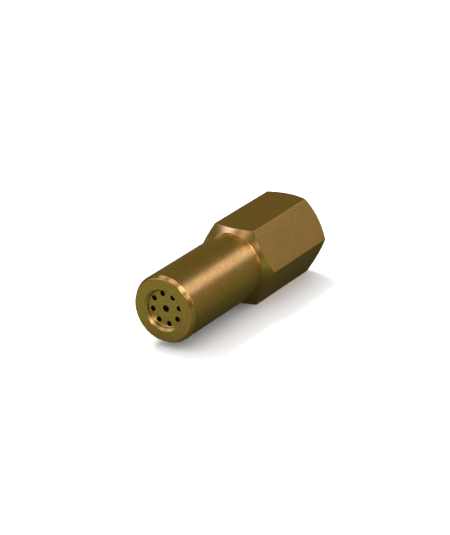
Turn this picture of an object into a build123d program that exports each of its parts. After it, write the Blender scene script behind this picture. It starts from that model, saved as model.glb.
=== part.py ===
"""Oil burner nozzle: a hexagon-bar body with nine jets in its nose, the plates behind them and a strainer.

The nozzle lies on one flat of its hexagon. Its axis is the Y axis: the mouth of the inlet thread is at
the origin and the nose points towards -Y. A depth is a distance from the mouth along the axis.
"""

import os
from math import cos, hypot, radians, sin

from build123d import *

os.makedirs("parts", exist_ok=True)

# Hexagon
hex_across_flats = 19.0
hex_length = 25.72           # to where the shoulder's cone meets the nose
rear_land_inset = 0.0        # how far inside the flats the rear corner chamfer starts
corner_chamfer_slope = 0.79  # axial fall of the rear corner chamfer per unit of radius
shoulder_slope = 0.55        # axial fall of the shoulder's cone per unit of radius

# Nose
nose_radius = 8.3
nose_length = 28.88
nose_root_fillet = 0.25
nose_edge_axial = 1.1
nose_edge_radial = 0.6
nose_edge_fillet = 0.25

# Inlet socket: a parallel quarter-inch pipe thread, drawn as a plain wall at its minor diameter
inlet_thread_radius = 5.72
inlet_mouth_radial = 0.9
inlet_mouth_axial = 0.45
inlet_thread_depth = 13.0
relief_radius = 6.8
relief_length = 2.0

# Fits
sliding_clearance = 0.03
thread_clearance = 0.02

# Nose bore: the lip that the plates seat on, their bore and the lock screw's fine thread
opening_radius = 4.65
opening_edge_chamfer = 0.5
lip_thickness = 0.6
lip_overhang = 0.55          # how far the lip reaches in over the plates
lock_thread_step = 0.15      # from the plates' bore to the lock thread's pitch radius, and on to its crest
lock_thread_run_out = 0.3
lock_thread_run_in = 1.5

# Orifice plate
recess_depth = 1.3           # from the nose's face to the face that the jets open on
tip_seal_thickness = 0.15
dish_fillet = 0.5
jet_length = 1.2
jet_radius = 0.68
centre_jet_radius = 0.85
jet_count = 8
jet_ring_inset = 0.96        # from the recess's wall to the ring of jets
jet_start_angle = 11.45
jet_entry_taper = 45
jet_entry_depth = 0.22

# Swirl plate, distributor and the pin that keeps them in line with the jets
swirl_plate_thickness = 0.9
swirl_chamber_web = 0.22     # metal between each of the ring's chambers and its feed holes
centre_chamber_radius = 0.97
swirl_slot_width = 0.36
feed_hole_radius = 0.38
centre_feed_web = 0.47       # metal between the centre chamber's feed holes and the ring's chambers
centre_feed_count = 4
distributor_thickness = 2.6
index_pin_radius = 0.3
index_pin_edge_distance = 0.52
index_pin_bite = 0.8         # into the orifice plate and into the distributor

# Lock screw
lock_screw_length = 8.0
lock_screw_chamfer = 0.3
plenum_radius = 4.3
plenum_depth = 1.2
drive_across_flats = 4.5
strainer_thread_radius = 3.25
strainer_socket_depth = 4.5

# Strainer
strainer_boss_length = 4.2
strainer_bore_radius = 1.6
flange_overhang = 0.64       # past the crimp bands, which the flange and the cap hold endwise
flange_flat_overhang = 0.04
flange_thickness = 1.6
spigot_length = 2.2
tube_outer_radius = 3.1
tube_wall = 0.4
tube_length = 15.0
tube_hole_radius = 0.8
tube_hole_rows = 4
tube_hole_pitch = 2.7
tube_drillings = 3           # each goes right through, so it makes two holes
mesh_thickness = 0.3
band_width = 1.5
band_thickness = 0.4
cap_overhang = 0.09
cap_thickness = 1.3
cap_edge_fillet = 0.5

# Depths that follow, from the nose's face inwards
body_length = hex_length + nose_length
socket_depth = inlet_thread_depth + relief_length
lip_back = body_length - lip_thickness
plate_front = lip_back - tip_seal_thickness
dish_floor = body_length - recess_depth
plate_back = dish_floor - jet_length
swirl_back = plate_back - swirl_plate_thickness
distributor_back = swirl_back - distributor_thickness
lock_rear = distributor_back - lock_screw_length
flange_rear = lock_rear - flange_thickness
tube_rear = flange_rear - tube_length
cap_rear = tube_rear - cap_thickness

# Radii that follow
half_flats = hex_across_flats / 2
corner_radius = half_flats / cos(radians(30))
rear_land_radius = half_flats - rear_land_inset
stack_radius = opening_radius + lip_overhang
plate_radius = stack_radius - sliding_clearance
lock_thread_radius = stack_radius + lock_thread_step
chamber_radius = lock_thread_radius + lock_thread_step + sliding_clearance
jet_ring_radius = opening_radius - jet_ring_inset
index_pin_ring_radius = plate_radius - index_pin_edge_distance
spigot_radius = tube_outer_radius - tube_wall - sliding_clearance
mesh_inner_radius = tube_outer_radius + sliding_clearance
mesh_outer_radius = mesh_inner_radius + mesh_thickness
band_inner_radius = mesh_outer_radius + sliding_clearance
band_outer_radius = band_inner_radius + band_thickness
flange_radius = band_outer_radius + flange_overhang
flange_half_flats = band_outer_radius + flange_flat_overhang
cap_radius = band_outer_radius + cap_overhang

# The ring's feed holes stand halfway between its jets, and the index pin is in line with one of them
half_step = 180 / jet_count
feed_start_angle = jet_start_angle + half_step
feed_inset = jet_ring_radius * (1 - cos(radians(half_step)))
feed_reach = jet_ring_radius * sin(radians(half_step))
feed_distance = hypot(feed_inset, feed_reach)
swirl_chamber_radius = feed_distance - feed_hole_radius - swirl_chamber_web
centre_feed_reach = jet_ring_radius - swirl_chamber_radius - feed_hole_radius - centre_feed_web


def turn(*outline, mode=Mode.ADD):
    """Turn a closed outline of (radius, depth) corners about the nozzle's axis."""
    with BuildSketch() as half_section:
        with BuildLine():
            Polyline(*[(radius, -depth) for radius, depth in outline], close=True)
        make_face()
    revolve(half_section.sketch, axis=Axis.Y, mode=mode)


def turn_ring(inner_radius, outer_radius, rear, front, mode=Mode.ADD):
    """Turn a plain ring, or a disc where the inner radius is 0, between two depths."""
    corners = (inner_radius, rear), (outer_radius, rear), (outer_radius, front), (inner_radius, front)
    turn(*corners, mode=mode)


def circles_at(piece, radius):
    """The circular edges of one radius, from the nose's end to the inlet's."""
    edges = piece.edges().filter_by(GeomType.CIRCLE)
    return edges.filter_by(lambda edge: abs(edge.radius - radius) < 1e-4).sort_by(Axis.Y)


def cross_section(depth):
    """The plane across the axis at a depth, facing the nose."""
    return Plane.XZ.offset(depth)


with BuildPart() as nozzle_body:
    with BuildSketch(cross_section(0)):
        RegularPolygon(radius=half_flats, side_count=6, major_radius=False)
    extrude(amount=hex_length)
    turn(
        (0, 0),
        (rear_land_radius, 0),
        (corner_radius, corner_chamfer_slope * (corner_radius - rear_land_radius)),
        (corner_radius, hex_length - shoulder_slope * (corner_radius - nose_radius)),
        (nose_radius, hex_length),
        (0, hex_length),
        mode=Mode.INTERSECT,
    )
    turn(
        (0, socket_depth),
        (nose_radius, socket_depth),
        (nose_radius, body_length - nose_edge_axial),
        (nose_radius - nose_edge_radial, body_length),
        (0, body_length),
    )
    fillet(circles_at(nozzle_body, nose_radius)[-1], nose_root_fillet)
    fillet(circles_at(nozzle_body, nose_radius)[0], nose_edge_fillet)
    fillet(circles_at(nozzle_body, nose_radius - nose_edge_radial), nose_edge_fillet)
    turn(
        (0, 0),
        (inlet_thread_radius + inlet_mouth_radial, 0),
        (inlet_thread_radius, inlet_mouth_axial),
        (inlet_thread_radius, inlet_thread_depth),
        (relief_radius, inlet_thread_depth + relief_radius - inlet_thread_radius),
        (relief_radius, socket_depth),
        (chamber_radius, socket_depth),
        (chamber_radius, lock_rear - lock_thread_run_in),
        (lock_thread_radius, lock_rear - lock_thread_run_in),
        (lock_thread_radius, distributor_back + lock_thread_run_out),
        (stack_radius, distributor_back + lock_thread_run_out),
        (stack_radius, lip_back),
        (opening_radius, lip_back),
        (opening_radius, body_length),
        (0, body_length),
        mode=Mode.SUBTRACT,
    )
    chamfer(circles_at(nozzle_body, opening_radius)[0], opening_edge_chamfer)
nozzle_body.part.label = "nozzle_body"
export_step(nozzle_body.part, "parts/nozzle_body.step")

with BuildPart() as tip_seal:
    turn_ring(opening_radius, plate_radius, plate_front, lip_back)
tip_seal.part.label = "tip_seal"
export_step(tip_seal.part, "parts/tip_seal.step")

with BuildPart() as orifice_plate:
    turn_ring(0, plate_radius, plate_back, plate_front)
    turn_ring(0, opening_radius, dish_floor, plate_front, mode=Mode.SUBTRACT)
    fillet(circles_at(orifice_plate, opening_radius)[-1], dish_fillet)
    with BuildSketch(cross_section(plate_back)):
        with PolarLocations(jet_ring_radius, jet_count, start_angle=jet_start_angle):
            Circle(jet_radius)
        Circle(centre_jet_radius)
    extrude(amount=recess_depth + jet_length, mode=Mode.SUBTRACT)
    with BuildSketch(cross_section(plate_back)):
        with PolarLocations(jet_ring_radius, jet_count, start_angle=jet_start_angle):
            Circle(jet_radius + jet_entry_depth)
        Circle(centre_jet_radius + jet_entry_depth)
    extrude(amount=jet_entry_depth, taper=jet_entry_taper, mode=Mode.SUBTRACT)
    with BuildSketch(cross_section(plate_back)):
        with PolarLocations(index_pin_ring_radius, 1, start_angle=feed_start_angle):
            Circle(index_pin_radius + sliding_clearance)
    extrude(amount=index_pin_bite + sliding_clearance, mode=Mode.SUBTRACT)
orifice_plate.part.label = "orifice_plate"
export_step(orifice_plate.part, "parts/orifice_plate.step")

with BuildPart() as swirl_plate:
    with BuildSketch(cross_section(swirl_back)):
        Circle(plate_radius)
        with PolarLocations(jet_ring_radius, jet_count, start_angle=jet_start_angle):
            Circle(swirl_chamber_radius, mode=Mode.SUBTRACT)
            with Locations((swirl_slot_width / 2 - swirl_chamber_radius, feed_reach / 2)):
                Rectangle(swirl_slot_width, feed_reach, mode=Mode.SUBTRACT)
            with Locations((-feed_inset, feed_reach)):
                Circle(feed_hole_radius, mode=Mode.SUBTRACT)
        Circle(centre_chamber_radius, mode=Mode.SUBTRACT)
        with PolarLocations(0, centre_feed_count):
            with Locations((centre_feed_reach / 2, centre_chamber_radius - swirl_slot_width / 2)):
                Rectangle(centre_feed_reach, swirl_slot_width, mode=Mode.SUBTRACT)
            with Locations((centre_feed_reach, centre_chamber_radius - swirl_slot_width / 2)):
                Circle(feed_hole_radius, mode=Mode.SUBTRACT)
        with PolarLocations(index_pin_ring_radius, 1, start_angle=feed_start_angle):
            Circle(index_pin_radius + sliding_clearance, mode=Mode.SUBTRACT)
    extrude(amount=swirl_plate_thickness)
swirl_plate.part.label = "swirl_plate"
export_step(swirl_plate.part, "parts/swirl_plate.step")

with BuildPart() as distributor:
    turn_ring(0, plate_radius, distributor_back, swirl_back)
    with BuildSketch(cross_section(distributor_back)):
        with PolarLocations(jet_ring_radius, jet_count, start_angle=feed_start_angle):
            Circle(feed_hole_radius)
        with PolarLocations(0, centre_feed_count):
            with Locations((centre_feed_reach, centre_chamber_radius - swirl_slot_width / 2)):
                Circle(feed_hole_radius)
    extrude(amount=distributor_thickness, mode=Mode.SUBTRACT)
    with BuildSketch(cross_section(swirl_back - index_pin_bite - sliding_clearance)):
        with PolarLocations(index_pin_ring_radius, 1, start_angle=feed_start_angle):
            Circle(index_pin_radius + sliding_clearance)
    extrude(amount=index_pin_bite + sliding_clearance, mode=Mode.SUBTRACT)
distributor.part.label = "distributor"
export_step(distributor.part, "parts/distributor.step")

with BuildPart() as index_pin:
    with BuildSketch(cross_section(swirl_back - index_pin_bite)):
        with PolarLocations(index_pin_ring_radius, 1, start_angle=feed_start_angle):
            Circle(index_pin_radius)
    extrude(amount=swirl_plate_thickness + 2 * index_pin_bite)
index_pin.part.label = "index_pin"
export_step(index_pin.part, "parts/index_pin.step")

with BuildPart() as lock_screw:
    turn_ring(0, lock_thread_radius - thread_clearance, lock_rear, distributor_back)
    chamfer(circles_at(lock_screw, lock_thread_radius - thread_clearance), lock_screw_chamfer)
    turn_ring(0, plenum_radius, distributor_back - plenum_depth, distributor_back, mode=Mode.SUBTRACT)
    turn_ring(0, strainer_thread_radius, lock_rear, lock_rear + strainer_socket_depth, mode=Mode.SUBTRACT)
    with BuildSketch(cross_section(lock_rear)):
        RegularPolygon(radius=drive_across_flats / 2, side_count=6, major_radius=False)
    extrude(amount=lock_screw_length, mode=Mode.SUBTRACT)
lock_screw.part.label = "lock_screw"
export_step(lock_screw.part, "parts/lock_screw.step")

with BuildPart() as strainer_base:
    with BuildSketch(cross_section(flange_rear)):
        Circle(flange_radius)
        Rectangle(2 * flange_half_flats, 2 * flange_radius, mode=Mode.INTERSECT)
    extrude(amount=flange_thickness)
    turn_ring(0, strainer_thread_radius - thread_clearance, lock_rear, lock_rear + strainer_boss_length)
    turn_ring(0, spigot_radius, flange_rear - spigot_length, flange_rear)
    turn_ring(
        0,
        strainer_bore_radius,
        flange_rear - spigot_length,
        lock_rear + strainer_boss_length,
        mode=Mode.SUBTRACT,
    )
strainer_base.part.label = "strainer_base"
export_step(strainer_base.part, "parts/strainer_base.step")

with BuildPart() as strainer_tube:
    turn_ring(tube_outer_radius - tube_wall, tube_outer_radius, tube_rear, flange_rear)
    first_row = tube_rear + (tube_length - (tube_hole_rows - 1) * tube_hole_pitch) / 2
    for row in range(tube_hole_rows):
        for drilling in range(tube_drillings):
            angle = radians((drilling + row % 2 / 2) * 180 / tube_drillings)
            centre = (0, -(first_row + row * tube_hole_pitch), 0)
            with BuildSketch(Plane(origin=centre, x_dir=(0, 1, 0), z_dir=(cos(angle), 0, sin(angle)))):
                Circle(tube_hole_radius)
            extrude(amount=mesh_inner_radius, both=True, mode=Mode.SUBTRACT)
strainer_tube.part.label = "strainer_tube"
export_step(strainer_tube.part, "parts/strainer_tube.step")

with BuildPart() as strainer_mesh:
    turn_ring(mesh_inner_radius, mesh_outer_radius, tube_rear, flange_rear)
strainer_mesh.part.label = "strainer_mesh"
export_step(strainer_mesh.part, "parts/strainer_mesh.step")

with BuildPart() as strainer_bands:
    for band_rear in (tube_rear, flange_rear - band_width):
        turn_ring(band_inner_radius, band_outer_radius, band_rear, band_rear + band_width)
strainer_bands.part.label = "strainer_bands"
export_step(strainer_bands.part, "parts/strainer_bands.step")

with BuildPart() as strainer_cap:
    turn_ring(0, cap_radius, cap_rear, tube_rear)
    fillet(circles_at(strainer_cap, cap_radius)[-1], cap_edge_fillet)
    turn_ring(0, spigot_radius, tube_rear, tube_rear + spigot_length)
strainer_cap.part.label = "strainer_cap"
export_step(strainer_cap.part, "parts/strainer_cap.step")
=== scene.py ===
"""Looks of the oil burner nozzle: its turned and threaded body, its jets and its woven strainer."""

import math

import bpy
import mathutils
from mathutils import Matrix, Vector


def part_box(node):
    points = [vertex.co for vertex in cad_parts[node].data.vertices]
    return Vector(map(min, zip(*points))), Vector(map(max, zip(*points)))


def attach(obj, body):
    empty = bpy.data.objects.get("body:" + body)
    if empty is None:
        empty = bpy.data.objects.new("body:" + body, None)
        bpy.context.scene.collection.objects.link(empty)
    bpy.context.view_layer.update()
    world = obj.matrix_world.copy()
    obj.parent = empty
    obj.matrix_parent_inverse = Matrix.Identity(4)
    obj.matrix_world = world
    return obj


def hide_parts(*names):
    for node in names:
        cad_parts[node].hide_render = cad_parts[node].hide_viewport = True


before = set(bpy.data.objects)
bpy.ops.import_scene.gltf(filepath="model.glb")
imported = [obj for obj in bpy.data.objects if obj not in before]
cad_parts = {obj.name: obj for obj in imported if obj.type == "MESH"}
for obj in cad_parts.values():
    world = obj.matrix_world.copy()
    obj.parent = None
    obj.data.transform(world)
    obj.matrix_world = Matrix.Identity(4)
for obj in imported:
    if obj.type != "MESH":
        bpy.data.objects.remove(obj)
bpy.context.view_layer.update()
scene = bpy.context.scene

MM = 0.001


def depth_range(node):
    """How far in from the inlet's mouth a node starts and ends along the axis."""
    low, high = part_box(node)
    return -high.y, -low.y


def radius_of(node):
    """The radius of a round node about the axis."""
    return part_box(node)[1].x


# Sizes that the frame gives
BODY_LENGTH = depth_range("nozzle_body")[1]
HALF_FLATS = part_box("nozzle_body")[1].z
CORNER_RADIUS = HALF_FLATS / math.cos(math.radians(30))
LIP_BACK = depth_range("tip_seal")[1]
DISTRIBUTOR_BACK = depth_range("distributor")[0]
LOCK_REAR = depth_range("lock_screw")[0]
PLATE_RADIUS = radius_of("orifice_plate")

# Outside of the body
HEX_LENGTH = 25.72 * MM  # to where the shoulder's cone meets the nose
REAR_CHAMFER_SLOPE = 0.79
SHOULDER_SLOPE = 0.55
HEX_EDGE_BREAK = 0.1 * MM
NOSE_RADIUS = 8.3 * MM
NOSE_ROOT_FILLET = 0.25 * MM
NOSE_EDGE_AXIAL = 1.1 * MM
NOSE_EDGE_RADIAL = 0.6 * MM
NOSE_EDGE_FILLET = 0.25 * MM
LAND_EDGE_BREAK = 0.06 * MM

# Inside of the body
OPENING_RADIUS = 4.65 * MM
OPENING_EDGE_BREAK = 0.5 * MM
BORE_CLEARANCE = 0.03 * MM
LOCK_THREAD_STEP = 0.15 * MM
LOCK_THREAD_RUN_OUT = 0.3 * MM
LOCK_THREAD_RUN_IN = 1.5 * MM
INLET_CREST_RADIUS = 5.72 * MM
INLET_ROOT_RADIUS = 6.58 * MM
INLET_MOUTH_RADIAL = 0.9 * MM
INLET_MOUTH_AXIAL = 0.45 * MM
INLET_DEPTH = 13.0 * MM
RELIEF_RADIUS = 6.8 * MM
RELIEF_LENGTH = 2.0 * MM
DISH_FLOOR = 53.3 * MM  # the face that the jets open on

# Inlet thread: 19 to the inch, with 55 degrees between its flanks
INLET_PITCH = 25.4 / 19 * MM
THREAD_HALF_ANGLE = math.radians(27.5)
TAP_OVERLAP = 0.12 * MM  # how far the tap stands clear inside the crests

# Mesh
FACETS = 192  # round a turned surface
TOUCHING = MM / 1000  # points closer than this are one
BODY_SHARP_ANGLE = math.radians(28)
WIRE_SHARP_ANGLE = math.radians(60)

# What tells the body's faces apart: a normal's share along the axis, or a reach from the axis
LEVEL = 0.01
SLANT_LOW = 0.2
SLANT_HIGH = 0.98
FLAT_REACH = 0.995 * HALF_FLATS
BORE_REACH = 1.02 * RELIEF_RADIUS
NOSE_FACE_SKIN = 0.01 * MM

# Strainer gauze
WIRE_RADIUS = 0.05 * MM
WIRES_ROUND = 64
GAUZE_SIDES = 4
GAUZE_HALF_SPACE = 0.15 * MM  # from the middle of the weave to its outside
GAUZE_TOUCHING = MM / 200


# Camera ------------------------------------------------------------------

# The camera's place is given from the shoulder, where the fronts of the flats stand
AZIMUTH = math.radians(34.34)
ELEVATION = math.radians(23.37)
ROLL = math.radians(-2.40)
DISTANCE = 535.1 * MM
SIDE_STEP = 2.10 * MM
RISE = 0.57 * MM
SHOULDER_DEPTH = 25.05 * MM
LENS = 151.7
SENSOR_WIDTH = 36
CLIP_START = 10 * MM


def make_camera():
    """A long lens that looks down on the nose from its right, rolled a little."""
    back = mathutils.Vector((
        math.sin(AZIMUTH) * math.cos(ELEVATION),
        -math.cos(AZIMUTH) * math.cos(ELEVATION),
        math.sin(ELEVATION),
    ))
    level = mathutils.Vector((math.cos(AZIMUTH), math.sin(AZIMUTH), 0))
    upright = back.cross(level)
    right = level * math.cos(ROLL) + upright * math.sin(ROLL)
    up = upright * math.cos(ROLL) - level * math.sin(ROLL)
    bpy.ops.object.camera_add()
    camera = bpy.context.object
    camera.name = "camera"
    camera.data.lens = LENS
    camera.data.sensor_width = SENSOR_WIDTH
    camera.data.clip_start = CLIP_START
    axes = mathutils.Matrix((right, up, back)).transposed()
    shoulder = mathutils.Vector((0, -SHOULDER_DEPTH, 0))
    place = shoulder + back * DISTANCE - right * SIDE_STEP - up * RISE
    camera.matrix_world = mathutils.Matrix.LocRotScale(place, axes.to_quaternion(), None)
    scene.camera = camera


# Modelling ---------------------------------------------------------------


def start(operator, name, **sizes):
    """Add a primitive with nothing else selected, and name it."""
    if bpy.context.object and bpy.context.object.mode == "EDIT":
        bpy.ops.object.mode_set(mode="OBJECT")
    bpy.ops.object.select_all(action="DESELECT")
    operator(**sizes)
    piece = bpy.context.object
    piece.name = name
    piece.data.name = name
    return piece


def choose(piece, kind, wanted):
    """In edit mode, select the vertices, edges or faces that a test picks by their middle."""
    bpy.ops.mesh.select_mode(type=kind)
    bpy.ops.mesh.select_all(action="DESELECT")
    bpy.ops.object.mode_set(mode="OBJECT")
    mesh = piece.data
    items = {"VERT": mesh.vertices, "EDGE": mesh.edges, "FACE": mesh.polygons}[kind]
    for item in items:
        item.select = wanted(item)
    bpy.ops.object.mode_set(mode="EDIT")


def put_in_place(piece):
    """Leave the object at the origin, unturned and unscaled, with its place in its mesh."""
    bpy.ops.object.mode_set(mode="OBJECT")
    bpy.ops.object.select_all(action="DESELECT")
    piece.select_set(True)
    bpy.context.view_layer.objects.active = piece
    bpy.ops.object.transform_apply(location=True, rotation=True, scale=True)


def apply_modifier(piece, kind, **settings):
    """Add a modifier to the piece, set it up and apply it."""
    bpy.ops.object.select_all(action="DESELECT")
    piece.select_set(True)
    bpy.context.view_layer.objects.active = piece
    bpy.ops.object.modifier_add(type=kind)
    modifier = piece.modifiers[-1]
    for key, value in settings.items():
        setattr(modifier, key, value)
    bpy.ops.object.modifier_apply(modifier=modifier.name)


def rounded(before, corner, after, radius, steps=5):
    """The points of an arc that rounds one corner of an outline."""
    corner = mathutils.Vector(corner)
    to_before = (mathutils.Vector(before) - corner).normalized()
    to_after = (mathutils.Vector(after) - corner).normalized()
    half = to_before.angle(to_after) / 2
    centre = corner + (to_before + to_after).normalized() * radius / math.sin(half)
    first = corner + to_before * radius / math.tan(half) - centre
    last = corner + to_after * radius / math.tan(half) - centre
    sweep = first.angle_signed(last)
    arc = []
    for step in range(steps + 1):
        turn = mathutils.Matrix.Rotation(-sweep * step / steps, 2)
        arc.append(tuple(centre + turn @ first))
    return arc


def turned(name, outline, facets=FACETS):
    """Turn a closed outline of (radius, depth) points: a circle, extruded and resized ring by ring."""
    radius, depth = outline[0]
    piece = start(
        bpy.ops.mesh.primitive_circle_add,
        name,
        vertices=facets,
        radius=radius,
        location=(0, -depth, 0),
        rotation=(math.pi / 2, 0, 0),
        enter_editmode=True,
    )
    for next_radius, next_depth in [*outline[1:], outline[0]]:
        step = {"value": (0, depth - next_depth, 0)}
        bpy.ops.mesh.extrude_region_move(TRANSFORM_OT_translate=step)
        ratio = next_radius / radius
        bpy.ops.transform.resize(value=(ratio, 1, ratio), center_override=(0, -next_depth, 0))
        radius, depth = next_radius, next_depth
    bpy.ops.mesh.select_all(action="SELECT")
    bpy.ops.mesh.remove_doubles(threshold=TOUCHING)
    bpy.ops.mesh.normals_make_consistent(inside=False)
    put_in_place(piece)
    return piece


def body_outline():
    """The body's half section, from the inlet's mouth round the outside to the nose and back inside."""
    rear_corner = (CORNER_RADIUS, REAR_CHAMFER_SLOPE * (CORNER_RADIUS - HALF_FLATS))
    front_corner = (CORNER_RADIUS, HEX_LENGTH - SHOULDER_SLOPE * (CORNER_RADIUS - NOSE_RADIUS))
    root = (NOSE_RADIUS, HEX_LENGTH)
    edge_start = (NOSE_RADIUS, BODY_LENGTH - NOSE_EDGE_AXIAL)
    edge_end = (NOSE_RADIUS - NOSE_EDGE_RADIAL, BODY_LENGTH)
    opening = (OPENING_RADIUS + OPENING_EDGE_BREAK, BODY_LENGTH)
    plate_bore = PLATE_RADIUS + BORE_CLEARANCE
    lock_bore = plate_bore + LOCK_THREAD_STEP
    chamber = lock_bore + LOCK_THREAD_STEP + BORE_CLEARANCE
    lock_front = DISTRIBUTOR_BACK + LOCK_THREAD_RUN_OUT
    lock_back = LOCK_REAR - LOCK_THREAD_RUN_IN
    relief_end = INLET_DEPTH + RELIEF_LENGTH
    return [
        (INLET_CREST_RADIUS + INLET_MOUTH_RADIAL, 0),
        (HALF_FLATS - LAND_EDGE_BREAK, 0),
        (HALF_FLATS + LAND_EDGE_BREAK, REAR_CHAMFER_SLOPE * LAND_EDGE_BREAK),
        rear_corner,
        front_corner,
        *rounded(front_corner, root, edge_start, NOSE_ROOT_FILLET),
        *rounded(root, edge_start, edge_end, NOSE_EDGE_FILLET),
        *rounded(edge_start, edge_end, opening, NOSE_EDGE_FILLET),
        opening,
        (OPENING_RADIUS, BODY_LENGTH - OPENING_EDGE_BREAK),
        (OPENING_RADIUS, LIP_BACK),
        (plate_bore, LIP_BACK),
        (plate_bore, lock_front),
        (lock_bore, lock_front),
        (lock_bore, lock_back),
        (chamber, lock_back),
        (chamber, relief_end),
        (RELIEF_RADIUS, relief_end),
        (RELIEF_RADIUS, INLET_DEPTH + RELIEF_RADIUS - INLET_CREST_RADIUS),
        (INLET_CREST_RADIUS, INLET_DEPTH),
        (INLET_CREST_RADIUS, INLET_MOUTH_AXIAL),
    ]


def make_hexagon_bar():
    """A length of hexagon bar with its six long edges broken."""
    bar = start(
        bpy.ops.mesh.primitive_cylinder_add,
        "hexagon_bar",
        vertices=6,
        radius=CORNER_RADIUS,
        depth=4 * BODY_LENGTH,
        rotation=(math.pi / 2, math.pi / 6, 0),
        enter_editmode=True,
    )
    choose(bar, "EDGE", lambda edge: along_bar(bar.data, edge))
    bpy.ops.mesh.bevel(offset=HEX_EDGE_BREAK, segments=3, affect="EDGES")
    put_in_place(bar)
    return bar


def along_bar(mesh, edge):
    """Whether an edge runs the bar's length; the bar's own axis is its Z until it is put in place."""
    ends = [mesh.vertices[index].co for index in edge.vertices]
    return abs(ends[0].z - ends[1].z) > BODY_LENGTH


def make_thread_tap():
    """The groove of the inlet thread as a solid: one tooth's section, wound up by a screw modifier."""
    height = INLET_ROOT_RADIUS - INLET_CREST_RADIUS + TAP_OVERLAP
    middle = INLET_ROOT_RADIUS - height / 2
    half_tip = INLET_PITCH / 12
    half_base = half_tip + height * math.tan(THREAD_HALF_ANGLE)
    tap = start(
        bpy.ops.mesh.primitive_plane_add,
        "thread_tap",
        size=1,
        location=(0, 0, 0),
        enter_editmode=True,
    )
    bpy.ops.transform.resize(value=(height, 2 * half_base, 1))
    bpy.ops.transform.translate(value=(middle, 0, 0))
    choose(tap, "VERT", lambda vertex: vertex.co.x > middle)
    bpy.ops.transform.resize(value=(1, half_tip / half_base, 1), center_override=(middle, 0, 0))
    bpy.ops.mesh.select_all(action="SELECT")
    turns = math.ceil((INLET_DEPTH + INLET_PITCH) / INLET_PITCH)
    bpy.ops.transform.translate(value=(0, -(turns - 0.5) * INLET_PITCH, 0))
    bpy.ops.mesh.delete(type="ONLY_FACE")
    put_in_place(tap)
    apply_modifier(
        tap,
        "SCREW",
        axis="Y",
        screw_offset=INLET_PITCH,
        iterations=turns,
        steps=FACETS // 2,
        render_steps=FACETS // 2,
        use_merge_vertices=False,
    )
    bpy.ops.object.mode_set(mode="EDIT")
    bpy.ops.mesh.select_all(action="SELECT")
    bpy.ops.mesh.remove_doubles(threshold=TOUCHING)
    bpy.ops.mesh.fill_holes(sides=4)
    bpy.ops.mesh.select_all(action="SELECT")
    bpy.ops.mesh.normals_make_consistent(inside=False)
    put_in_place(tap)
    return tap


def cut(piece, tool, operation):
    """Cut the piece with a tool, and throw the tool away."""
    apply_modifier(piece, "BOOLEAN", operation=operation, object=tool, solver="EXACT")
    bpy.data.objects.remove(tool)


def give_faces(piece, material, wanted):
    """Put a material on the faces that a test picks."""
    piece.data.materials.append(material)
    bpy.ops.object.mode_set(mode="EDIT")
    choose(piece, "FACE", wanted)
    piece.active_material_index = len(piece.data.materials) - 1
    bpy.ops.object.material_slot_assign()
    bpy.ops.object.mode_set(mode="OBJECT")


def on_flat(face):
    """A face of the hexagon: it looks straight out from the axis, further out than the nose."""
    distance = face.normal.dot(face.center)
    return abs(face.normal.y) < LEVEL and distance > FLAT_REACH


def on_cone(face):
    """A slanted face: the shoulder's cone, the rear chamfer, the nose's edge or a small fillet."""
    return SLANT_LOW < abs(face.normal.y) < SLANT_HIGH


def inside_body(face):
    """A face of the bore, the chamber, the thread or the inlet's countersink."""
    radius = math.hypot(face.center.x, face.center.z)
    depth = -face.center.y
    return radius < BORE_REACH and LAND_EDGE_BREAK < depth < BODY_LENGTH - NOSE_FACE_SKIN


def make_body():
    """The body: its turned shape, where that lies within the hexagon bar, with the inlet tapped."""
    body = turned("turned_body", body_outline())
    cut(body, make_hexagon_bar(), "INTERSECT")
    cut(body, make_thread_tap(), "DIFFERENCE")
    bpy.ops.object.shade_smooth_by_angle(angle=BODY_SHARP_ANGLE)
    apply_modifier(body, "WEIGHTED_NORMAL", mode="FACE_AREA", keep_sharp=True)
    body.data.materials.clear()
    body.data.materials.append(make_turned_brass())
    give_faces(body, make_cut_brass(), on_cone)
    give_faces(body, make_drawn_brass(), on_flat)
    give_faces(body, make_bored_brass(), inside_body)
    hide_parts("nozzle_body")
    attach(body, "root")
    return body


# Materials ---------------------------------------------------------------

BRASS = (0.80, 0.55, 0.22)
BRASS_RED = (0.78, 0.42, 0.19)
BRASS_OLIVE = (0.66, 0.53, 0.16)
BRASS_DULL = (0.50, 0.34, 0.13)
# the edges' lighter tone: partly real wear, partly a painted highlight where rounded edges would catch
# the light
BRASS_WORN_AND_GLINT = (0.90, 0.66, 0.33)
SPECK_BROWN = (0.34, 0.19, 0.07)
# painted shade: near black and matt on the jets' drilled walls, where light doesn't reach into the
# holes
JET_PAINTED_SHADE = (0.035, 0.028, 0.02)
JET_PAINTED_SHADE_ROUGHNESS = 0.75
GRAIN_STRENGTH = 0.5
TRAVEL_ACROSS = 1.6  # a facing cut's rings stand closer together than a turning cut's

PAPER = (0.90, 0.90, 0.90)
PAPER_PALE = (0.905, 0.905, 0.905)
# Painted reflection: the metal mirrors these emitted floor tones, with painted shade beneath the
# nozzle.
PAINTED_REFLECTION_AHEAD = (0.270, 0.290, 0.130)  # these three are the floor as the metal mirrors it
PAINTED_REFLECTION_ASIDE = (0.150, 0.160, 0.055)
PAINTED_SHADE_BENEATH = (0.036, 0.040, 0.024)


def place_node(tree, kind, sockets=None, **settings):
    """Add a node, set it up, and give each named socket a value or a link."""
    made = tree.nodes.new(kind)
    for key, value in settings.items():
        setattr(made, key, value)
    for key, value in (sockets or {}).items():
        if isinstance(value, bpy.types.NodeSocket):
            tree.links.new(value, made.inputs[key])
        else:
            made.inputs[key].default_value = value
    return made


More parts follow.
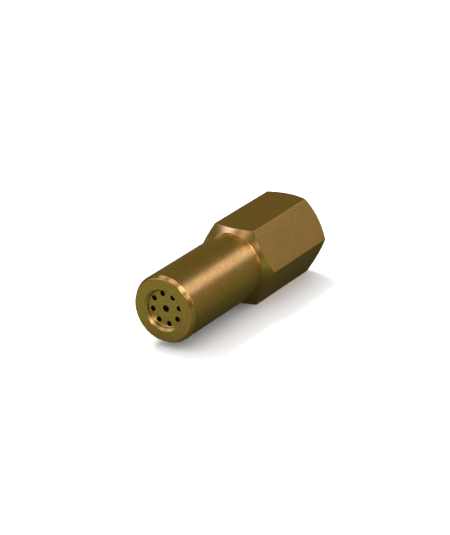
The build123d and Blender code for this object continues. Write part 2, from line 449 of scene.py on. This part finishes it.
def maths(tree, operation, *values):
    """A sum, product or other operation on values that are numbers or links."""
    made = place_node(tree, "ShaderNodeMath", operation=operation)
    for socket, value in zip(made.inputs, values):
        if isinstance(value, bpy.types.NodeSocket):
            tree.links.new(value, socket)
        else:
            socket.default_value = value
    return made.outputs[0]


def scaled(tree, value, factor):
    return maths(tree, "MULTIPLY", value, factor)


def added(tree, base, value, share):
    """The base with a share of another value added to it."""
    return maths(tree, "MULTIPLY_ADD", value, share, base)


def spread(tree, value, low, high, new_low=0.0, new_high=1.0):
    """Stretch a value's range from low..high to new_low..new_high, clamped."""
    limits = {1: low, 2: high, 3: new_low, 4: new_high}
    return place_node(tree, "ShaderNodeMapRange", {0: value, **limits}).outputs[0]


def new_group(name, inputs, outputs):
    """A node group with float inputs and their defaults, and float outputs."""
    group = bpy.data.node_groups.new(name, "ShaderNodeTree")
    kind = "NodeSocketFloat"
    for socket_name, default in inputs.items():
        socket = group.interface.new_socket(socket_name, in_out="INPUT", socket_type=kind)
        socket.default_value = default
    for socket_name in outputs:
        group.interface.new_socket(socket_name, in_out="OUTPUT", socket_type=kind)
    return group


def group_ends(group):
    return group.nodes.new("NodeGroupInput").outputs, group.nodes.new("NodeGroupOutput").inputs


def position(tree):
    return place_node(tree, "ShaderNodeTexCoord").outputs["Object"]


def noise(tree, vector, scale, detail=2.0, roughness=0.5):
    made = place_node(
        tree,
        "ShaderNodeTexNoise",
        {"Vector": vector, "Scale": scale, "Detail": detail, "Roughness": roughness},
    )
    return made.outputs[0]


def radius_from_axis(tree, where):
    """How far a point stands from the nozzle's axis."""
    parts = place_node(tree, "ShaderNodeSeparateXYZ", {0: where}).outputs
    outward = place_node(tree, "ShaderNodeCombineXYZ", {0: parts[0], 2: parts[2]}).outputs[0]
    length = place_node(tree, "ShaderNodeVectorMath", {0: outward}, operation="LENGTH")
    return length.outputs["Value"]


def make_turning_marks():
    """Rings left by the lathe, on faces along the axis and across it alike."""
    group = new_group("turning marks", {"Pitch": 0.12, "Chatter Pitch": 0.9}, ("Height", "Chatter"))
    given, result = group_ends(group)
    where = position(group)
    along = place_node(group, "ShaderNodeSeparateXYZ", {0: where}).outputs[1]
    travel = added(group, along, radius_from_axis(group, where), TRAVEL_ACROSS)
    travel_mm = maths(group, "DIVIDE", travel, MM)
    for pitch, output, detail in (("Pitch", "Height", 2.0), ("Chatter Pitch", "Chatter", 3.0)):
        rings = place_node(
            group,
            "ShaderNodeTexNoise",
            {"W": maths(group, "DIVIDE", travel_mm, given[pitch]), "Scale": 1.0, "Detail": detail},
            noise_dimensions="1D",
        )
        group.links.new(rings.outputs[0], result[output])
    return group


def per_size(group, size):
    """The noise scale for a size in millimetres."""
    return maths(group, "DIVIDE", 1 / MM, size)


def make_drawn_lines():
    """Fine lines along the bar, where it was pulled through its die."""
    group = new_group("drawn lines", {"Width": 0.18, "Length": 7.0}, ("Height", "Streaks"))
    given, result = group_ends(group)
    across = per_size(group, given["Width"])
    along = per_size(group, given["Length"])
    stretch = place_node(group, "ShaderNodeCombineXYZ", {0: across, 1: along, 2: across}).outputs[0]
    factors = {0: position(group), 1: stretch}
    lines = place_node(group, "ShaderNodeVectorMath", factors, operation="MULTIPLY").outputs[0]
    fine = noise(group, lines, 1.0, 3.0)
    wide = noise(group, lines, 0.23, 2.0)
    group.links.new(fine, result["Height"])
    group.links.new(spread(group, wide, 0.35, 0.65), result["Streaks"])
    return group


def make_tarnish():
    """Where the air and fingers have dulled the metal: broad clouds, small specks and a fine grain."""
    sizes = {"Cloud Size": 5.0, "Speck Size": 0.35, "Grain Size": 0.2}
    group = new_group("tarnish", sizes, ("Clouds", "Specks", "Grain"))
    given, result = group_ends(group)
    where = position(group)
    clouds = noise(group, where, per_size(group, given["Cloud Size"]), 4.0, 0.6)
    specks = noise(group, where, per_size(group, given["Speck Size"]), 1.0)
    grain = noise(group, where, per_size(group, given["Grain Size"]), 3.0, 0.65)
    group.links.new(spread(group, clouds, 0.36, 0.66), result["Clouds"])
    group.links.new(spread(group, specks, 0.68, 0.8), result["Specks"])
    group.links.new(grain, result["Grain"])
    return group


def make_edge_wear_and_glint():
    """A mask of the edges, broken up by noise: partly wear that handling has rubbed bright, partly a
    painted highlight where a rounded edge would catch the light.
    """
    group = new_group("edge wear and glint", {"Width": 0.15}, ("Worn And Glint",))
    given, result = group_ends(group)
    width = scaled(group, given["Width"], MM)
    softened = place_node(group, "ShaderNodeBevel", {"Radius": width}, samples=6).outputs[0]
    sharp = place_node(group, "ShaderNodeNewGeometry").outputs["Normal"]
    normals = {0: softened, 1: sharp}
    turn = place_node(group, "ShaderNodeVectorMath", normals, operation="DOT_PRODUCT")
    bend = spread(group, turn.outputs["Value"], 0.995, 0.90)
    broken = spread(group, noise(group, position(group), 1.4 / MM, 3.0), 0.35, 0.6, 0.25, 1.0)
    group.links.new(scaled(group, bend, broken), result["Worn And Glint"])
    return group


def mix_colour(tree, factor, first, second):
    """Mix two colours, each a tuple or a link."""
    first, second = ((*tone, 1) if isinstance(tone, tuple) else tone for tone in (first, second))
    sockets = {0: factor, 6: first, 7: second}
    return place_node(tree, "ShaderNodeMix", sockets, data_type="RGBA").outputs[2]


def use_group(tree, name, **sockets):
    """Add a shared group; its inputs are named in lower case with underscores."""
    named = {key.replace("_", " ").title(): value for key, value in sockets.items()}
    return place_node(tree, "ShaderNodeGroup", named, node_tree=bpy.data.node_groups[name]).outputs


def new_metal(name):
    """A material with its Principled shader ready to be wired as metal."""
    material = bpy.data.materials.new(name)
    material.use_nodes = True
    tree = material.node_tree
    shader = tree.nodes["Principled BSDF"]
    shader.inputs["Metallic"].default_value = 1.0
    return material, tree, shader


def wire_metal(tree, shader, colour, roughness, height, depth):
    """Join up a metal's colour, roughness and bump; depth is the bump's height in millimetres."""
    tree.links.new(colour, shader.inputs["Base Color"])
    tree.links.new(roughness, shader.inputs["Roughness"])
    bump = place_node(tree, "ShaderNodeBump", {"Height": height, "Distance": depth * MM})
    tree.links.new(bump.outputs[0], shader.inputs["Normal"])


def brass_colour(tree, tarnish, worn_and_glint, red=0.5, olive=0.5, clouds=None):
    """Brass that reddens and dulls in clouds, is dotted brown, and is lighter along its edges, partly
    from wear and partly as a painted highlight.
    """
    clouds = clouds or tarnish["Clouds"]
    redder = mix_colour(tree, scaled(tree, clouds, red), BRASS, BRASS_RED)
    clear = maths(tree, "SUBTRACT", 1.0, clouds)
    patchy = mix_colour(tree, scaled(tree, clear, olive), redder, BRASS_OLIVE)
    grain = spread(tree, tarnish["Grain"], 0.38, 0.64, 0.0, GRAIN_STRENGTH)
    grainy = mix_colour(tree, grain, patchy, BRASS_DULL)
    dotted = mix_colour(tree, scaled(tree, tarnish["Specks"], 0.5), grainy, SPECK_BROWN)
    # painted highlight along the edges, together with real wear
    return mix_colour(tree, scaled(tree, worn_and_glint, 0.6), dotted, BRASS_WORN_AND_GLINT)


def make_turned_brass():
    """The body's outside where the lathe cut it: the nose, its face and the ring round the inlet."""
    material, tree, shader = new_metal("turned_brass")
    marks = use_group(tree, "turning marks", pitch=0.16, chatter_pitch=1.1)
    tarnish = use_group(tree, "tarnish", cloud_size=4.5, speck_size=0.4, grain_size=0.7)
    lines = use_group(tree, "drawn lines", width=0.5, length=9.0)
    worn_and_glint = use_group(tree, "edge wear and glint", width=0.14)["Worn And Glint"]
    clouds = added(tree, scaled(tree, tarnish["Clouds"], 0.65), lines["Streaks"], 0.35)
    colour = brass_colour(tree, tarnish, worn_and_glint, red=0.9, olive=0.5, clouds=clouds)
    rough = added(tree, 0.24, marks["Chatter"], 0.08)
    rough = added(tree, rough, tarnish["Grain"], 0.10)
    rough = added(tree, rough, worn_and_glint, -0.06)
    height = added(tree, scaled(tree, tarnish["Grain"], 0.6), marks["Height"], 0.6)
    wire_metal(tree, shader, colour, rough, height, 0.010)
    return material


def make_cut_brass():
    """The shoulder, the rear chamfer and the nose's edge: one pass of a form tool, so smoother."""
    material, tree, shader = new_metal("cut_brass")
    marks = use_group(tree, "turning marks", pitch=0.2, chatter_pitch=0.8)
    tarnish = use_group(tree, "tarnish", cloud_size=2.5, speck_size=0.3)
    worn_and_glint = use_group(tree, "edge wear and glint", width=0.12)["Worn And Glint"]
    colour = brass_colour(tree, tarnish, worn_and_glint, red=0.5, olive=0.3)
    rough = added(tree, 0.16, marks["Chatter"], 0.06)
    rough = added(tree, rough, tarnish["Grain"], 0.08)
    height = added(tree, scaled(tree, tarnish["Grain"], 0.4), marks["Height"], 0.5)
    wire_metal(tree, shader, colour, rough, height, 0.004)
    return material


def make_drawn_brass():
    """The six flats, as the hexagon bar came from the die."""
    material, tree, shader = new_metal("drawn_brass")
    lines = use_group(tree, "drawn lines", width=0.22, length=8.0)
    tarnish = use_group(tree, "tarnish", cloud_size=5.5, speck_size=0.45, grain_size=0.7)
    worn_and_glint = use_group(tree, "edge wear and glint", width=0.16)["Worn And Glint"]
    clouds = added(tree, scaled(tree, tarnish["Clouds"], 0.85), lines["Streaks"], 0.15)
    colour = brass_colour(tree, tarnish, worn_and_glint, red=1.0, olive=0.5, clouds=clouds)
    rough = added(tree, 0.27, tarnish["Clouds"], 0.05)
    rough = added(tree, rough, tarnish["Grain"], 0.14)
    rough = added(tree, rough, worn_and_glint, -0.08)
    height = added(tree, scaled(tree, tarnish["Grain"], 0.9), lines["Height"], 0.45)
    wire_metal(tree, shader, colour, rough, height, 0.012)
    return material


def make_bored_brass():
    """The body's inside: the tapped inlet, the chamber and the bore that holds the stack."""
    material, tree, shader = new_metal("bored_brass")
    marks = use_group(tree, "turning marks", pitch=0.22, chatter_pitch=0.8)
    tarnish = use_group(tree, "tarnish", cloud_size=3.0, speck_size=0.3)
    worn_and_glint = use_group(tree, "edge wear and glint", width=0.08)["Worn And Glint"]
    colour = brass_colour(tree, tarnish, worn_and_glint, red=0.35, olive=0.7)
    rough = added(tree, 0.26, marks["Chatter"], 0.16)
    wire_metal(tree, shader, colour, rough, marks["Height"], 0.012)
    return material


def in_jets(tree):
    """A mask of the drilled walls, where shade is painted: faces that look sideways, well inside the
    recess's own wall.
    """
    normal = place_node(tree, "ShaderNodeNewGeometry").outputs["Normal"]
    forward = place_node(tree, "ShaderNodeSeparateXYZ", {0: normal}).outputs[1]
    sideways = spread(tree, maths(tree, "ABSOLUTE", forward), 0.9, 0.6)
    where = position(tree)
    along = place_node(tree, "ShaderNodeSeparateXYZ", {0: where}).outputs[1]
    behind_floor = spread(tree, along, -DISH_FLOOR - 0.03 * MM, -DISH_FLOOR + 0.01 * MM)
    radius = radius_from_axis(tree, where)
    within = spread(tree, radius, OPENING_RADIUS + 0.02 * MM, OPENING_RADIUS)
    return scaled(tree, scaled(tree, sideways, within), behind_floor)


def make_tip_brass():
    """The jets' plate: faced on a lathe, drilled, and a little cleaner than the body."""
    material, tree, shader = new_metal("tip_brass")
    marks = use_group(tree, "turning marks", pitch=0.14, chatter_pitch=0.7)
    tarnish = use_group(tree, "tarnish", cloud_size=2.5, speck_size=0.3, grain_size=0.5)
    worn_and_glint = use_group(tree, "edge wear and glint", width=0.1)["Worn And Glint"]
    brass = brass_colour(tree, tarnish, worn_and_glint, red=0.3, olive=0.6)
    # painted shade: the jets' walls go near black
    jet_shade_mask = in_jets(tree)
    colour = mix_colour(tree, jet_shade_mask, brass, JET_PAINTED_SHADE)
    clean_rough = added(tree, 0.24, tarnish["Grain"], 0.12)
    rough = maths(tree, "MAXIMUM", clean_rough, scaled(tree, jet_shade_mask, JET_PAINTED_SHADE_ROUGHNESS))
    height = added(tree, scaled(tree, tarnish["Grain"], 0.3), marks["Height"], 0.3)
    wire_metal(tree, shader, colour, rough, height, 0.003)
    return material


def make_plain_metal(name, clean, dull, roughness, pitch, depth, cloud_size=2.5):
    """A small inner part's metal: turned or stamped, clouded between two tones, bright at its edges,
    partly from wear and partly as a painted highlight.
    """
    material, tree, shader = new_metal(name)
    marks = use_group(tree, "turning marks", pitch=pitch, chatter_pitch=4 * pitch)
    tarnish = use_group(tree, "tarnish", cloud_size=cloud_size, speck_size=0.25)
    worn_and_glint = use_group(tree, "edge wear and glint", width=0.06)["Worn And Glint"]
    bright = tuple(min(1.0, 1.15 * value) for value in clean)
    patchy = mix_colour(tree, tarnish["Clouds"], clean, dull)
    dotted = mix_colour(tree, scaled(tree, tarnish["Specks"], 0.4), patchy, SPECK_BROWN)
    # painted highlight along the edges, together with real wear
    colour = mix_colour(tree, scaled(tree, worn_and_glint, 0.7), dotted, bright)
    rough = added(tree, roughness, tarnish["Clouds"], 0.1)
    rough = added(tree, rough, marks["Chatter"], 0.12)
    height = added(tree, scaled(tree, tarnish["Grain"], 0.3), marks["Height"], 0.7)
    wire_metal(tree, shader, colour, rough, height, depth)
    return material


def make_seal_copper():
    return make_plain_metal(
        "seal_copper",
        clean=(0.93, 0.52, 0.36),
        dull=(0.66, 0.30, 0.18),
        roughness=0.30,
        pitch=0.2,
        depth=0.006,
    )


def make_plate_steel():
    return make_plain_metal(
        "plate_steel",
        clean=(0.63, 0.62, 0.60),
        dull=(0.46, 0.45, 0.43),
        roughness=0.24,
        pitch=0.1,
        depth=0.004,
    )


def make_pin_steel():
    return make_plain_metal(
        "pin_steel",
        clean=(0.60, 0.59, 0.57),
        dull=(0.44, 0.43, 0.42),
        roughness=0.18,
        pitch=0.08,
        depth=0.003,
    )


def make_inner_brass():
    return make_plain_metal(
        "inner_brass",
        clean=(0.83, 0.60, 0.27),
        dull=(0.68, 0.45, 0.18),
        roughness=0.26,
        pitch=0.14,
        depth=0.006,
    )


def make_tube_steel():
    return make_plain_metal(
        "tube_steel",
        clean=(0.60, 0.60, 0.59),
        dull=(0.45, 0.44, 0.42),
        roughness=0.28,
        pitch=0.3,
        depth=0.004,
        cloud_size=4.0,
    )


def make_mesh_bronze():
    return make_plain_metal(
        "mesh_bronze",
        clean=(0.78, 0.50, 0.25),
        dull=(0.55, 0.33, 0.16),
        roughness=0.30,
        pitch=0.05,
        depth=0.002,
        cloud_size=1.5,
    )


def make_band_brass():
    return make_plain_metal(
        "band_brass",
        clean=(0.86, 0.64, 0.30),
        dull=(0.70, 0.48, 0.20),
        roughness=0.22,
        pitch=0.18,
        depth=0.004,
    )


def make_floor_paper():
    """Pale paper to the eye; to the metal, a painted reflection of a dimmer, olive floor that glows,
    with painted shade darkest beneath the nozzle.
    """
    material = bpy.data.materials.new("floor_paper_painted_reflection")
    material.use_nodes = True
    material.cycles.emission_sampling = "NONE"
    tree = material.node_tree
    tree.nodes.remove(tree.nodes["Principled BSDF"])
    ray = place_node(tree, "ShaderNodeLightPath").outputs
    where = position(tree)
    fibres = noise(tree, where, 0.4 / MM, 3.0)
    tone = mix_colour(tree, spread(tree, fibres, 0.3, 0.7), PAPER, PAPER_PALE)
    paper = place_node(tree, "ShaderNodeBsdfDiffuse", {"Color": tone}).outputs[0]
    parts = place_node(tree, "ShaderNodeSeparateXYZ", {0: where}).outputs
    sideways = maths(tree, "ABSOLUTE", parts[0])
    aside = spread(tree, sideways, 0.4 * CORNER_RADIUS, 2.5 * CORNER_RADIUS)
    ahead = spread(tree, parts[1], -0.9 * BODY_LENGTH, -1.25 * BODY_LENGTH)
    # painted shade beneath the nozzle and a lighter painted reflection ahead, seen only by the metal's
    # glossy rays
    reflection_shaded_beneath = mix_colour(tree, aside, PAINTED_SHADE_BENEATH, PAINTED_REFLECTION_ASIDE)
    painted_reflection = mix_colour(tree, ahead, reflection_shaded_beneath, PAINTED_REFLECTION_AHEAD)
    painted_reflection_glow = place_node(tree, "ShaderNodeEmission", {"Color": painted_reflection, "Strength": 1.0}).outputs[0]
    seen = place_node(tree, "ShaderNodeMixShader", {0: ray["Is Glossy Ray"], 1: paper, 2: painted_reflection_glow})
    tree.links.new(seen.outputs[0], tree.nodes["Material Output"].inputs["Surface"])
    return material


# Strainer gauze ----------------------------------------------------------


def zigzag_wire(start_point, rise, run, turn):
    """In edit mode, add a wire that passes over one neighbour and under the next."""
    bpy.ops.mesh.select_all(action="DESELECT")
    bpy.ops.mesh.primitive_circle_add(
        vertices=GAUZE_SIDES,
        radius=WIRE_RADIUS,
        location=start_point,
        rotation=turn,
    )
    for direction in (-1, 1):
        step = (run[0], run[1], 2 * rise * direction)
        bpy.ops.mesh.extrude_region_move(TRANSFORM_OT_translate={"value": step})


def make_weave_tile(pitch_round, pitch_along):
    """Two wires along the sleeve and two round it, each pair crossing over and under."""
    tile = start(bpy.ops.mesh.primitive_plane_add, "gauze", size=pitch_round, enter_editmode=True)
    bpy.ops.mesh.select_all(action="SELECT")
    bpy.ops.mesh.delete(type="VERT")
    for place in range(2):
        rise = WIRE_RADIUS if place == 0 else -WIRE_RADIUS
        zigzag_wire((place * pitch_round, 0, rise), rise, (0, pitch_along), (math.pi / 2, 0, 0))
        zigzag_wire((0, place * pitch_along, -rise), -rise, (pitch_round, 0), (0, math.pi / 2, 0))
    bpy.ops.object.mode_set(mode="OBJECT")
    return tile


def repeat(piece, count, step):
    """Repeat a piece by an array, with the copies welded where they meet."""
    apply_modifier(
        piece,
        "ARRAY",
        count=count,
        use_relative_offset=False,
        use_constant_offset=True,
        constant_offset_displace=step,
        use_merge_vertices=True,
        merge_threshold=TOUCHING,
    )


def make_gauze():
    """The strainer's woven sleeve: a sheet of crossings, bent round until its sides meet."""
    low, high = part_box("strainer_mesh")
    middle = high.x - GAUZE_HALF_SPACE
    length = high.y - low.y - 2 * WIRE_RADIUS
    pitch_round = 2 * math.pi * middle / WIRES_ROUND
    tiles_along = round(length / (2 * pitch_round))
    pitch_along = length / (2 * tiles_along)
    gauze = make_weave_tile(pitch_round, pitch_along)
    repeat(gauze, tiles_along, (0, 2 * pitch_along, 0))
    repeat(gauze, WIRES_ROUND // 2, (2 * pitch_round, 0, 0))
    bpy.ops.object.mode_set(mode="EDIT")
    bpy.ops.mesh.select_all(action="SELECT")
    bpy.ops.transform.translate(value=(-math.pi * middle, low.y + WIRE_RADIUS, 0))
    bpy.ops.transform.rotate(value=math.pi / 2, orient_axis="Y", center_override=(0, 0, 0))
    bpy.ops.object.mode_set(mode="OBJECT")
    bpy.context.view_layer.update()
    sweep = gauze.dimensions.z / middle
    apply_modifier(gauze, "SIMPLE_DEFORM", deform_method="BEND", deform_axis="Y", angle=sweep)
    bpy.ops.object.mode_set(mode="EDIT")
    bpy.ops.mesh.select_all(action="SELECT")
    bpy.ops.transform.translate(value=(-middle, 0, 0))
    bpy.ops.mesh.remove_doubles(threshold=GAUZE_TOUCHING)
    bpy.ops.mesh.select_all(action="SELECT")
    bpy.ops.mesh.fill_holes(sides=GAUZE_SIDES)
    bpy.ops.mesh.select_all(action="SELECT")
    bpy.ops.mesh.normals_make_consistent(inside=False)
    put_in_place(gauze)
    bpy.ops.object.shade_smooth_by_angle(angle=WIRE_SHARP_ANGLE)
    gauze.data.materials.append(make_mesh_bronze())
    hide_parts("strainer_mesh")
    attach(gauze, "root")
    return gauze


# Room --------------------------------------------------------------------

WHITE = (1.0, 1.0, 1.0)
ROOM_TONE = (0.150, 0.135, 0.040)  # the room as the metal mirrors it
ROOM_SHARE = 1.3  # the room's light on the floor, against its brightness to the eye
FLOOR_SIZE = 4
PANEL_DISTANCE = 0.5
SUN_AZIMUTH = -112
SUN_ELEVATION = 52
SUN_STRENGTH = 2.2
SHADOW_SOFTNESS = math.radians(22)


def make_floor():
    """The floor that the hexagon's lower flat rests on."""
    middle = (0, 0, -HALF_FLATS)
    floor = start(bpy.ops.mesh.primitive_plane_add, "floor", size=FLOOR_SIZE, location=middle)
    floor.data.materials.append(make_floor_paper())
    return floor


def direction_of(azimuth, elevation):
    """The way to a light: azimuth runs from the nose's side towards +X, both in degrees."""
    turn, tilt = math.radians(azimuth), math.radians(elevation)
    return mathutils.Vector((
        math.sin(turn) * math.cos(tilt),
        -math.cos(turn) * math.cos(tilt),
        math.sin(tilt),
    ))


def make_panel(name, azimuth, elevation, width, height, colour, strength):
    """A soft panel that only the metal sees, aimed at the middle of the object."""
    direction = direction_of(azimuth, elevation)
    middle = mathutils.Vector((0, -BODY_LENGTH / 2, 0))
    bpy.ops.object.light_add(type="AREA", location=middle + direction * PANEL_DISTANCE)
    panel = bpy.context.object
    panel.name = name
    panel.rotation_euler = direction.to_track_quat("Z", "Y").to_euler()
    panel.data.shape = "ELLIPSE"
    panel.data.size = width
    panel.data.size_y = height
    panel.data.color = colour
    panel.data.energy = strength * math.pi * width * height
    panel.visible_camera = False
    panel.visible_diffuse = False


def make_panels():
    """The window, lamps and pale walls that the brass mirrors."""
    make_panel("window_left", -40, 24, 0.20, 0.18, (0.62, 0.66, 1.0), 1.85)
    make_panel("front_low_panel", -14, 26, 0.12, 0.14, (1.0, 0.75, 0.85), 0.75)
    make_panel("front_lamp", 11, 14, 0.07, 0.07, (1.0, 0.80, 0.75), 1.5)
    make_panel("front_right_panel", 38, 39, 0.14, 0.14, (1.0, 0.94, 0.98), 5.5)
    make_panel("top_right_panel", 72, 58, 0.18, 0.18, (0.93, 0.90, 1.0), 1.7)
    make_panel("left_top_panel", -98, 60, 0.22, 0.22, (0.80, 0.75, 1.0), 0.65)
    make_panel("front_left_high_panel", -33, 50, 0.18, 0.16, (1.0, 0.9, 0.87), 1.2)
    make_panel("left_panel", -72, 32, 0.22, 0.22, (0.75, 0.85, 1.0), 1.15)
    make_panel("right_high_panel", 108, 44, 0.20, 0.20, (1.0, 0.96, 0.98), 2.5)
    make_panel("right_low_panel", 108, 15, 0.22, 0.15, (1.0, 0.84, 0.60), 1.4)
    make_panel("right_middle_panel", 80, 33, 0.16, 0.14, (1.0, 0.75, 0.60), 1.1)
    make_panel("back_right_panel", 150, 32, 0.26, 0.20, (0.98, 0.82, 1.0), 1.05)
    make_panel("overhead_panel", 0, 86, 0.24, 0.22, (1.0, 0.80, 0.85), 0.8)


def make_shadow_sun():
    """The light that throws the floor's soft shadow; the metal doesn't mirror it."""
    bpy.ops.object.light_add(type="SUN")
    sun = bpy.context.object
    sun.name = "shadow_sun"
    sun.rotation_euler = direction_of(SUN_AZIMUTH, SUN_ELEVATION).to_track_quat("Z", "Y").to_euler()
    sun.data.angle = SHADOW_SOFTNESS
    sun.data.energy = SUN_STRENGTH
    sun.visible_glossy = False


def make_world():
    """White behind the object and on the floor, a dim olive room in the metal."""
    world = bpy.data.worlds.new("room")
    scene.world = world
    world.use_nodes = True
    world.cycles.sampling_method = "NONE"
    tree = world.node_tree
    ray = place_node(tree, "ShaderNodeLightPath").outputs
    tone = mix_colour(tree, ray["Is Glossy Ray"], WHITE, ROOM_TONE)
    share = spread(tree, ray["Is Diffuse Ray"], 0.0, 1.0, 1.0, ROOM_SHARE)
    background = tree.nodes["Background"]
    tree.links.new(tone, background.inputs["Color"])
    tree.links.new(share, background.inputs["Strength"])


def refinish(node, material):
    """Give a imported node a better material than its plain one."""
    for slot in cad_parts[node].material_slots:
        slot.material = material


def refinish_nodes():
    """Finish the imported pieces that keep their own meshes."""
    inner_brass = make_inner_brass()
    plate_steel = make_plate_steel()
    refinish("tip_seal", make_seal_copper())
    refinish("orifice_plate", make_tip_brass())
    refinish("swirl_plate", plate_steel)
    refinish("distributor", plate_steel)
    refinish("index_pin", make_pin_steel())
    refinish("lock_screw", inner_brass)
    refinish("strainer_base", inner_brass)
    refinish("strainer_cap", inner_brass)
    refinish("strainer_tube", make_tube_steel())
    refinish("strainer_bands", make_band_brass())


scene.view_settings.view_transform = "Standard"
make_turning_marks()
make_drawn_lines()
make_tarnish()
make_edge_wear_and_glint()
make_camera()
make_world()
make_panels()
make_shadow_sun()
make_floor()
make_body()
make_gauze()
refinish_nodes()
